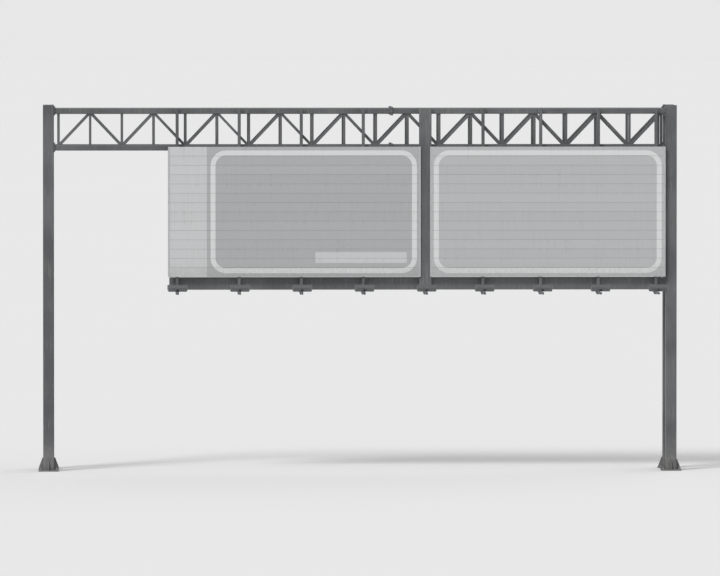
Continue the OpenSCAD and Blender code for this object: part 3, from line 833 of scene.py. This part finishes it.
def floor_paint():
    """A plain pale floor."""
    n = Nodes("stage_floor")
    n.colour(n.mix(n.noise(0.02, 2), FLOOR_COLOUR, scaled(FLOOR_COLOUR, 0.99)))
    n.rough(0.9)
    n.shader.inputs["Specular IOR Level"].default_value = 0.0
    return n.material


# Camera, floor and light

CAMERA_DISTANCE = 310.0
CAMERA_LEFT = math.radians(1.6)
CAMERA_UP = math.radians(1.85)
CAMERA_REACH = 5000
SIDE_MARGIN = 1.12
SENSOR_MM = 36
FLOOR_SIZE = 3000
FLOOR_BELOW = 0.002
# Name, strength, width in degrees and direction
SUNS = (("soft_sun", 1.85, 18, (-0.55, -0.72, 0.80)), ("fill", 0.75, 60, (0.60, 0.75, 0.50)))
DOME_STRENGTH = 0.60
BACKDROP_STRENGTH = 0.80


def add_object(name, data):
    """Puts a new camera or lamp in the scene."""
    thing = bpy.data.objects.new(name, data)
    bpy.context.scene.collection.objects.link(thing)
    return thing


def add_camera():
    """Far away, a little left of the gantry's middle and above it, as the photograph was taken."""
    lo, hi = (Vector(c) for c in CAD_BOX)
    back = Vector((-math.sin(CAMERA_LEFT), -math.cos(CAMERA_LEFT), 0)) * math.cos(CAMERA_UP)
    back.z = math.sin(CAMERA_UP)
    data = bpy.data.cameras.new("camera")
    data.sensor_width = SENSOR_MM
    data.lens = SENSOR_MM * CAMERA_DISTANCE / ((hi.x - lo.x) * SIDE_MARGIN)
    data.clip_end = CAMERA_REACH
    camera = add_object("camera", data)
    camera.location = (lo + hi) / 2 + back * CAMERA_DISTANCE
    camera.rotation_euler = back.to_track_quat("Z", "Y").to_euler()
    bpy.context.scene.camera = camera


def add_floor():
    """A wide floor just under the base plates."""
    bpy.ops.mesh.primitive_plane_add(size=FLOOR_SIZE, location=(0, 0, -FLOOR_BELOW))
    floor = bpy.context.object
    floor.name = "stage_floor"
    floor.data.materials.append(floor_paint())


def add_suns():
    """A large soft sun from the front left, and a weak wide one from behind."""
    for name, strength, width, towards in SUNS:
        data = bpy.data.lights.new(name, "SUN")
        data.energy = strength
        data.angle = math.radians(width)
        sun = add_object(name, data)
        sun.rotation_euler = Vector(towards).to_track_quat("Z", "Y").to_euler()


def add_dome():
    """Even light from all round, and the backdrop that the camera, gloss and glass see in its place."""
    world = bpy.data.worlds.new("dome")
    bpy.context.scene.world = world
    world.use_nodes = True
    nodes, links = world.node_tree.nodes, world.node_tree.links
    nodes.clear()
    path = nodes.new("ShaderNodeLightPath")
    seen = path.outputs["Is Camera Ray"]
    for ray in ("Is Transmission Ray", "Is Glossy Ray"):
        either = nodes.new("ShaderNodeMath")
        either.operation = "MAXIMUM"
        links.new(seen, either.inputs[0])
        links.new(path.outputs[ray], either.inputs[1])
        seen = either.outputs[0]
    mix = nodes.new("ShaderNodeMixShader")
    links.new(seen, mix.inputs[0])
    for place, strength in ((1, DOME_STRENGTH), (2, BACKDROP_STRENGTH)):
        white = nodes.new("ShaderNodeBackground")
        white.inputs["Color"].default_value = (1, 1, 1, 1)
        white.inputs["Strength"].default_value = strength
        links.new(white.outputs[0], mix.inputs[place])
    links.new(mix.outputs[0], nodes.new("ShaderNodeOutputWorld").inputs[0])


# Anchors and the steelwork's bolts and welds

ANCHOR_WASHER_HALF = 0.045
ANCHOR_WASHER_T = 0.012
# Its end above the nut, in thread diameters, and its lower end above the floor
ANCHOR_STUD = 1.3
ANCHOR_OFF_FLOOR = 0.003
# Distance of the beam's bolts from the edges of their plates
BEAM_BOLT_EDGE = 0.025
HANGER_BOLT_RISE = 0.028
HANGER_BOLT_FORWARD = 0.015


def add_anchors():
    """At every anchor hole the bolt down through it, a square washer, a nut and a threaded end."""
    bm = bmesh.new()
    random.seed(11)
    plate_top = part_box("base_plate_left_front")[1].z
    washer, lift = Vector((ANCHOR_WASHER_HALF, ANCHOR_WASHER_HALF, 0)), Z * ANCHOR_WASHER_T
    for mount in frame["record"]["mounts"]:
        if mount["kind"] != "bolt_pattern":
            continue
        x, y, _ = mount["pos_m"]
        dx = mount["dims"]["spacing_x_mm"] * MM / 2
        dy = mount["dims"]["spacing_y_mm"] * MM / 2
        for sx, sy in CORNERS:
            at = Vector((x + sx * dx, y + sy * dy, plate_top))
            add_box(bm, at - washer, at + washer + lift)
            add_nut(bm, at + lift, Z, ANCHOR_D, ANCHOR_STUD, True, turn())
            shank = [(ANCHOR_D / 2, 0), (ANCHOR_D / 2, plate_top - ANCHOR_OFF_FLOOR)]
            add_turned(bm, at, -Z, shank, THREAD_SIDES)
    finish_piece("anchor_bolts", bm, BOLT)


def add_beam_bolts():
    """Eight bolts round each chord, on its end plates and through its splice plates."""
    bm = bmesh.new()
    random.seed(12)
    ring = [(a, b) for a in (-1, 0, 1) for b in (-1, 0, 1) if a or b]
    for node, towards, add in (
        ("end_plates_left", 1, add_head), ("end_plates_right", -1, add_head),
        ("splice_plates_left", -1, add_nut), ("splice_plates_right", 1, add_head),
    ):
        for lo, hi in solids(node):
            middle = (lo + hi) / 2
            out = (hi.y - lo.y) / 2 - BEAM_BOLT_EDGE
            for a, b in ring:
                at = Vector((hi.x if towards > 0 else lo.x, middle.y + a * out, middle.z + b * out))
                add(bm, at, X * towards, BEAM_BOLT_D, turned=turn())
    finish_piece("beam_bolts", bm, BOLT)


def add_hanger_bolts():
    """Two bolts through each pair of cleats and the hanger between them."""
    bm = bmesh.new()
    random.seed(13)
    for node in ("hanger_cleats_top", "hanger_cleats_bottom"):
        for i, (lo, hi) in enumerate(solids(node)):
            side, add = (-1, add_head) if i % 2 == 0 else (1, add_nut)
            x, y = hi.x if side > 0 else lo.x, (lo.y + hi.y) / 2 - HANGER_BOLT_FORWARD
            for dz in (-HANGER_BOLT_RISE, HANGER_BOLT_RISE):
                add(bm, Vector((x, y, (lo.z + hi.z) / 2 + dz)), X * side, HANGER_BOLT_D, turned=turn())
    finish_piece("hanger_bolts", bm, BOLT)


def weld_leg(bm, side):
    """Fillets of a leg's columns, base fins and bracing."""
    plate_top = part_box("base_plate_left_front")[1].z
    fins = "base_fins_" + side
    weld_footprints(bm, fins, 2, plate_top, 1, LEG_WELD)
    planes = set()
    for row in ("front", "rear"):
        column = f"column_{side}_{row}"
        weld_footprints(bm, column, 2, plate_top, 1, COLUMN_WELD)
        for corner, up in zip(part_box(column), (-1, 1)):
            planes |= {(axis, round(corner[axis], 4), up) for axis in (0, 1)}
    for axis, value, up in sorted(planes):
        weld_footprints(bm, fins, axis, value, up, LEG_WELD)
    weld_ends(bm, "leg_bracing_" + side, 1, LEG_WELD)


def add_frame_welds():
    """Fillet welds where the painted steel pieces meet."""
    bm = bmesh.new()
    for side in ("left", "right"):
        weld_leg(bm, side)
    for node, axis in (("lacing_front", 2), ("lacing_rear", 2), ("lacing_top", 1), ("lacing_bottom", 1)):
        weld_ends(bm, node, axis, LACING_WELD)
    for node in ("chord_top_front", "chord_top_rear", "chord_bottom_front", "chord_bottom_rear"):
        for lo, hi in solids(node):
            weld_footprints(bm, node, 0, lo.x, 1, CHORD_WELD)
            weld_footprints(bm, node, 0, hi.x, -1, CHORD_WELD)
    for node in ("hanger_cleats_top", "hanger_cleats_bottom"):
        weld_footprints(bm, node, 1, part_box(node)[1].y, -1, HANGER_WELD)
    for node in ("hangers_left_sign", "hanger_between_signs", "hangers_right_sign"):
        weld_footprints(bm, node, 2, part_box(node)[0].z, 1, HANGER_WELD)
    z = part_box("walkway_bearers")[0].z + ARM_BOTTOM + ARM_HALF
    for lo, hi in solids("light_arms"):
        centre = Vector(((lo.x + hi.x) / 2, hi.y - ARM_PLATE_T, z))
        weld_square(bm, centre, X, Z, -Y, ARM_HALF, ARM_WELD)
    finish_piece("frame_welds", bm, WELD, 60)


# The walkway's bolts, from the middle of what they hold

CHANNEL_BOLT_OUT = 0.030
CHANNEL_BOLT_INWARD = 0.006
STANCHION_BOLT_OUT = 0.037
STANCHION_BOLTS_UP = (0.022, 0.088)
ARM_BOLT_OUT = 0.042
ARM_NUT_OUT = 0.9 * ARM_BOLT_OUT
ARM_BOLTS_UP = (0.028, 0.102)
GUARD_BOLT_OUT = 0.031


def add_channel_bolts(bm):
    """Two bolts where each edge channel rests on each bearer."""
    for node, inward in (("walkway_channel_front", 1), ("walkway_channel_rear", -1)):
        lo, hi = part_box(node)
        y = (lo.y + hi.y) / 2 + inward * CHANNEL_BOLT_INWARD
        for bearer_lo, bearer_hi in solids("walkway_bearers"):
            for dx in (-CHANNEL_BOLT_OUT, CHANNEL_BOLT_OUT):
                x = (bearer_lo.x + bearer_hi.x) / 2 + dx
                add_head(bm, Vector((x, y, lo.z + CHANNEL_T)), Z, CHANNEL_BOLT_D, turn())
                add_nut(bm, Vector((x, y, bearer_hi.z - BEARER_FLANGE)), -Z, CHANNEL_BOLT_D, turned=turn())


def add_stanchion_bolts(bm):
    """Four bolts through each stanchion's side plate and the rear edge channel."""
    channel_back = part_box("walkway_channel_rear")[1].y
    outer, inner = channel_back + SIDE_PLATE_T, channel_back - CHANNEL_T
    for lo, hi in solids("handrail_stanchions"):
        for dx in (-STANCHION_BOLT_OUT, STANCHION_BOLT_OUT):
            x = (lo.x + hi.x) / 2 + dx
            for up in STANCHION_BOLTS_UP:
                add_head(bm, Vector((x, outer, lo.z + up)), Y, STANCHION_BOLT_D, turn())
                add_nut(bm, Vector((x, inner, lo.z + up)), -Y, STANCHION_BOLT_D, turned=turn())


def add_arm_bolts(bm):
    """Four bolts through each light arm's plate and the end of its bearer."""
    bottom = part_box("walkway_bearers")[0].z + ARM_PLATE_EDGE
    for lo, hi in solids("light_arms"):
        middle = (lo.x + hi.x) / 2
        for side in (-1, 1):
            for up in ARM_BOLTS_UP:
                head = Vector((middle + side * ARM_BOLT_OUT, hi.y - ARM_PLATE_T, bottom + up))
                nut = Vector((middle + side * ARM_NUT_OUT, hi.y + BEARER_FLANGE, bottom + up))
                add_head(bm, head, -Y, ARM_BOLT_D, turn())
                add_nut(bm, nut, Y, ARM_BOLT_D, turned=turn())


def add_guard_bolts(bm):
    """Four bolts through each foot of the end guards."""
    foot_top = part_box("walkway_floor")[1].z + GUARD_FOOT_T
    for lo, hi in solids("end_guards"):
        for y in (lo.y + GUARD_FOOT_HALF, hi.y - GUARD_FOOT_HALF):
            for dx, dy in CORNERS:
                at = Vector(((lo.x + hi.x) / 2 + dx * GUARD_BOLT_OUT, y + dy * GUARD_BOLT_OUT, foot_top))
                add_head(bm, at, Z, GUARD_BOLT_D, turn())


def add_walkway_bolts():
    """Bolts of the edge channels, the stanchions' side plates, the light arms and the end guards' feet."""
    bm = bmesh.new()
    random.seed(14)
    add_channel_bolts(bm)
    add_stanchion_bolts(bm)
    add_arm_bolts(bm)
    add_guard_bolts(bm)
    finish_piece("walkway_bolts", bm, BOLT)


# Signs

RAIL_BRACKET = 0.050
BRACKET_T = 0.005
BRACKET_HALF = 0.018
# Bolts of a bracket: from the hanger along the rail, and from the rail along the hanger
RAIL_BOLT_OUT = 0.030
HANGER_SIDE_BOLT_OUT = 0.032
# Seals: how far behind the signs' faces, share of the joint's width and steps of the rounded front
SEAL_RECESS = 0.004
SEAL_SHARE = 0.96
SEAL_ARC = 6
# Rivets: distance from the trim's outer edge, and the dome's (radius, height)
RIVET_INSET = 0.034
RIVET = ((0.0055, 0), (0.0046, 0.0014), (0.0022, 0.0023))
RIVET_SIDES = 10


def add_plank_bracket(bm, x, side, back, z):
    """An angle in the corner of a plank's rail and a hanger's side at x, with its two bolts."""
    ends = sorted((x, x + side * RAIL_BRACKET))
    thin = sorted((x, x + side * BRACKET_T))
    low, high = z - BRACKET_HALF, z + BRACKET_HALF
    add_box(bm, (ends[0], back, low), (ends[1], back + BRACKET_T, high))
    add_box(bm, (thin[0], back + BRACKET_T, low), (thin[1], back + RAIL_BRACKET, high))
    on_rail = Vector((x + side * RAIL_BOLT_OUT, back + BRACKET_T, z))
    on_hanger = Vector((x + side * BRACKET_T, back + HANGER_SIDE_BOLT_OUT, z))
    add_nut(bm, on_rail, Y, PLANK_BOLT_D, turned=turn())
    add_head(bm, on_hanger, X * side, PLANK_BOLT_D, turn())


def add_plank_brackets():
    """A bracket at each side of each hanger, on the middle rail of each plank."""
    bm = bmesh.new()
    random.seed(15)
    for sign, hangers in (
        ("sign_planks_left", "hangers_left_sign"), ("sign_planks_right", "hangers_right_sign"),
    ):
        sign_lo, sign_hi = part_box(sign)
        faces = [(edge.x, s) for lo, hi in solids(hangers) for edge, s in ((lo, -1), (hi, 1))]
        lo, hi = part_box("hanger_between_signs")
        faces.append((lo.x, -1) if sign_lo.x < lo.x else (hi.x, 1))
        pitch = (sign_hi.z - sign_lo.z) / PLANKS
        for x, side in faces:
            for i in range(PLANKS):
                add_plank_bracket(bm, x, side, sign_hi.y, sign_lo.z + (i + 0.5) * pitch)
    finish_piece("plank_brackets", bm, BOLT)


def add_plank_seals():
    """A strip of rubber with a rounded front, let into the joint between each two planks."""
    bm = bmesh.new()
    front = [math.pi * (0.5 + k / SEAL_ARC) for k in range(SEAL_ARC + 1)]
    for node in ("sign_planks_left", "sign_planks_right"):
        planks = sorted(solids(node), key=lambda box: box[0].z)
        for (lo, below), (above, _) in zip(planks, planks[1:]):
            half = (above.z - below.z) / 2 * SEAL_SHARE
            centre = Vector((lo.x, lo.y + SEAL_RECESS + half, (above.z + below.z) / 2))
            outline = [centre + Y * (half * math.cos(a)) + Z * (half * math.sin(a)) for a in front]
            back = below.y - centre.y
            outline += [centre + Y * back - Z * half, centre + Y * back + Z * half]
            add_prism(bm, outline, X * (below.x - lo.x))
    finish_piece("plank_seals", bm, RUBBER)


def add_trim_rivets():
    """Dome rivets along the front of the trim at each end of a sign, one to each half plank."""
    bm = bmesh.new()
    rivets = 2 * PLANKS
    for node in ("sign_trim_left", "sign_trim_right"):
        lo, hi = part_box(node)
        step = (hi.z - lo.z) / rivets
        for i, (a, b) in enumerate(solids(node)):
            x = a.x + RIVET_INSET if i == 0 else b.x - RIVET_INSET
            for k in range(rivets):
                add_turned(bm, Vector((x, lo.y, lo.z + (k + 0.5) * step)), -Y, RIVET, RIVET_SIDES)
    finish_piece("trim_rivets", bm, ALUMINIUM)


# Walkway floor

GRATING_RODS = 7
ROD_SIDE = 0.0062
# Length of an eighth of a turn, and how deep the rod's middle lies and how far its corners reach, in sides
ROD_STEP = 0.05
ROD_DEPTH = 0.8
ROD_CORNER = 0.7


def add_twisted_rod(bm, start, length):
    """A square rod from start towards +X, twisted by an eighth of a turn at each step."""
    steps = round(length / ROD_STEP)
    rings = []
    for i in range(steps + 1):
        turned = i * math.pi / 4
        rings.append([
            bm.verts.new(start + X * (length * i / steps)
                         + (Y * math.cos(a) + Z * math.sin(a)) * ROD_SIDE * ROD_CORNER)
            for a in (turned + math.tau * j / 4 for j in range(4))
        ])
    close_rings(bm, rings)


def add_grating_rods():
    """Twisted cross rods let into the top of the bearing bars, beside the panel's own middle bar."""
    bm = bmesh.new()
    for lo, hi in solids("walkway_floor"):
        step = (hi.y - lo.y) / (GRATING_RODS + 1)
        for k in range(1, GRATING_RODS + 1):
            if k == (GRATING_RODS + 1) // 2:
                continue
            start = Vector((lo.x + GRATING_BAR / 2, lo.y + k * step, hi.z - ROD_SIDE * ROD_DEPTH))
            add_twisted_rod(bm, start, hi.x - lo.x - GRATING_BAR)
    finish_piece("grating_rods", bm, GALVANISED, 80)


# Lights

CLIP_HALF = 0.018
CLIP_T = 0.0025
# Reach of a clip over the glass and past its edge, and from that edge to its screw
CLIP_IN = 0.010
CLIP_OUT = 0.0085
CLIP_SCREW_OUT = 0.0035
# Share of a long side's half where its clips sit
LONG_SIDE_CLIPS = 0.62
# The bracket's four bolts, from the middle of its foot
BRACKET_BOLT_X = 0.015
BRACKET_BOLT_Y = 0.052


def add_clip(bm, at, along, out):
    """A flat clip over the edge of a glass at `at`, with its screw."""
    corners = ((-CLIP_HALF, -CLIP_IN), (CLIP_HALF, -CLIP_IN), (CLIP_HALF, CLIP_OUT), (-CLIP_HALF, CLIP_OUT))
    add_prism(bm, [at + along * a + out * o for a, o in corners], LIGHT_NORMAL * CLIP_T)
    add_head(bm, at + out * CLIP_SCREW_OUT + LIGHT_NORMAL * CLIP_T, LIGHT_NORMAL, CLIP_SCREW_D)


def add_light_clips():
    """Six clips with screws round the rim of each light's glass."""
    bm = bmesh.new()
    for lo, hi in solids("light_glasses"):
        face = (lo + hi) / 2 + LIGHT_NORMAL * (GLASS_T / 2)
        half_x = (hi.x - lo.x) / 2
        half_v = (hi.z - lo.z - GLASS_T * math.cos(LIGHT_TILT)) / (2 * math.sin(LIGHT_TILT))
        for a, b in CORNERS:
            at = face + X * (a * half_x * LONG_SIDE_CLIPS) + LIGHT_ACROSS * (b * half_v)
            add_clip(bm, at, X, LIGHT_ACROSS * b)
        for a in (-1, 1):
            add_clip(bm, face + X * (a * half_x), LIGHT_ACROSS, X * a)
    finish_piece("light_clips", bm, BOLT)


def add_bracket_bolts():
    """Four bolts down through the foot of each light's bracket, into the arm."""
    bm = bmesh.new()
    random.seed(16)
    for lo, hi in solids("light_glasses"):
        foot = (lo + hi) / 2 - LIGHT_NORMAL * SEAT_BELOW_GLASS - Z * FOOT_BELOW_SEAT
        for a, b in CORNERS:
            at = foot + X * (a * BRACKET_BOLT_X) + Y * (b * BRACKET_BOLT_Y)
            add_head(bm, at, Z, BRACKET_BOLT_D, turn())
    finish_piece("bracket_bolts", bm, BOLT)


# The scene

bpy.context.scene.view_settings.view_transform = "Standard"
add_camera()
add_floor()
add_suns()
add_dome()

PAINT = painted_steel()
GALVANISED = galvanised_steel()
BOLT = bolt_steel()
WELD = weld_steel()
ALUMINIUM = aluminium()
RUBBER = rubber()
MATERIAL_OF_SLOT = {
    "painted_steel": PAINT,
    "galvanised_steel": GALVANISED,
    "floor_grating": GALVANISED,
    "sign_trim": ALUMINIUM,
    "light_housing": light_housing(),
    "light_glass": light_glass(),
    "light_inside": light_inside(),
}
SHEET_OF = {
    "sign_planks_left": (SIGN_GREY_LEFT, PANEL_WIDTH, SMALL_PANEL),
    "sign_planks_right": (SIGN_GREY_RIGHT,),
}
for part in frame["record"]["subparts"]:
    node, slot = part["node"], part["material_slot"]
    materials = frame["nodes"][node].data.materials
    materials.clear()
    if node in SHEET_OF:
        materials.append(sign_sheet("sheet_of_" + node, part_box(node), *SHEET_OF[node]))
    else:
        materials.append(MATERIAL_OF_SLOT[slot])

add_anchors()
add_beam_bolts()
add_hanger_bolts()
add_walkway_bolts()
add_frame_welds()
add_plank_brackets()
add_plank_seals()
add_trim_rivets()
add_grating_rods()
add_light_clips()
add_bracket_bolts()
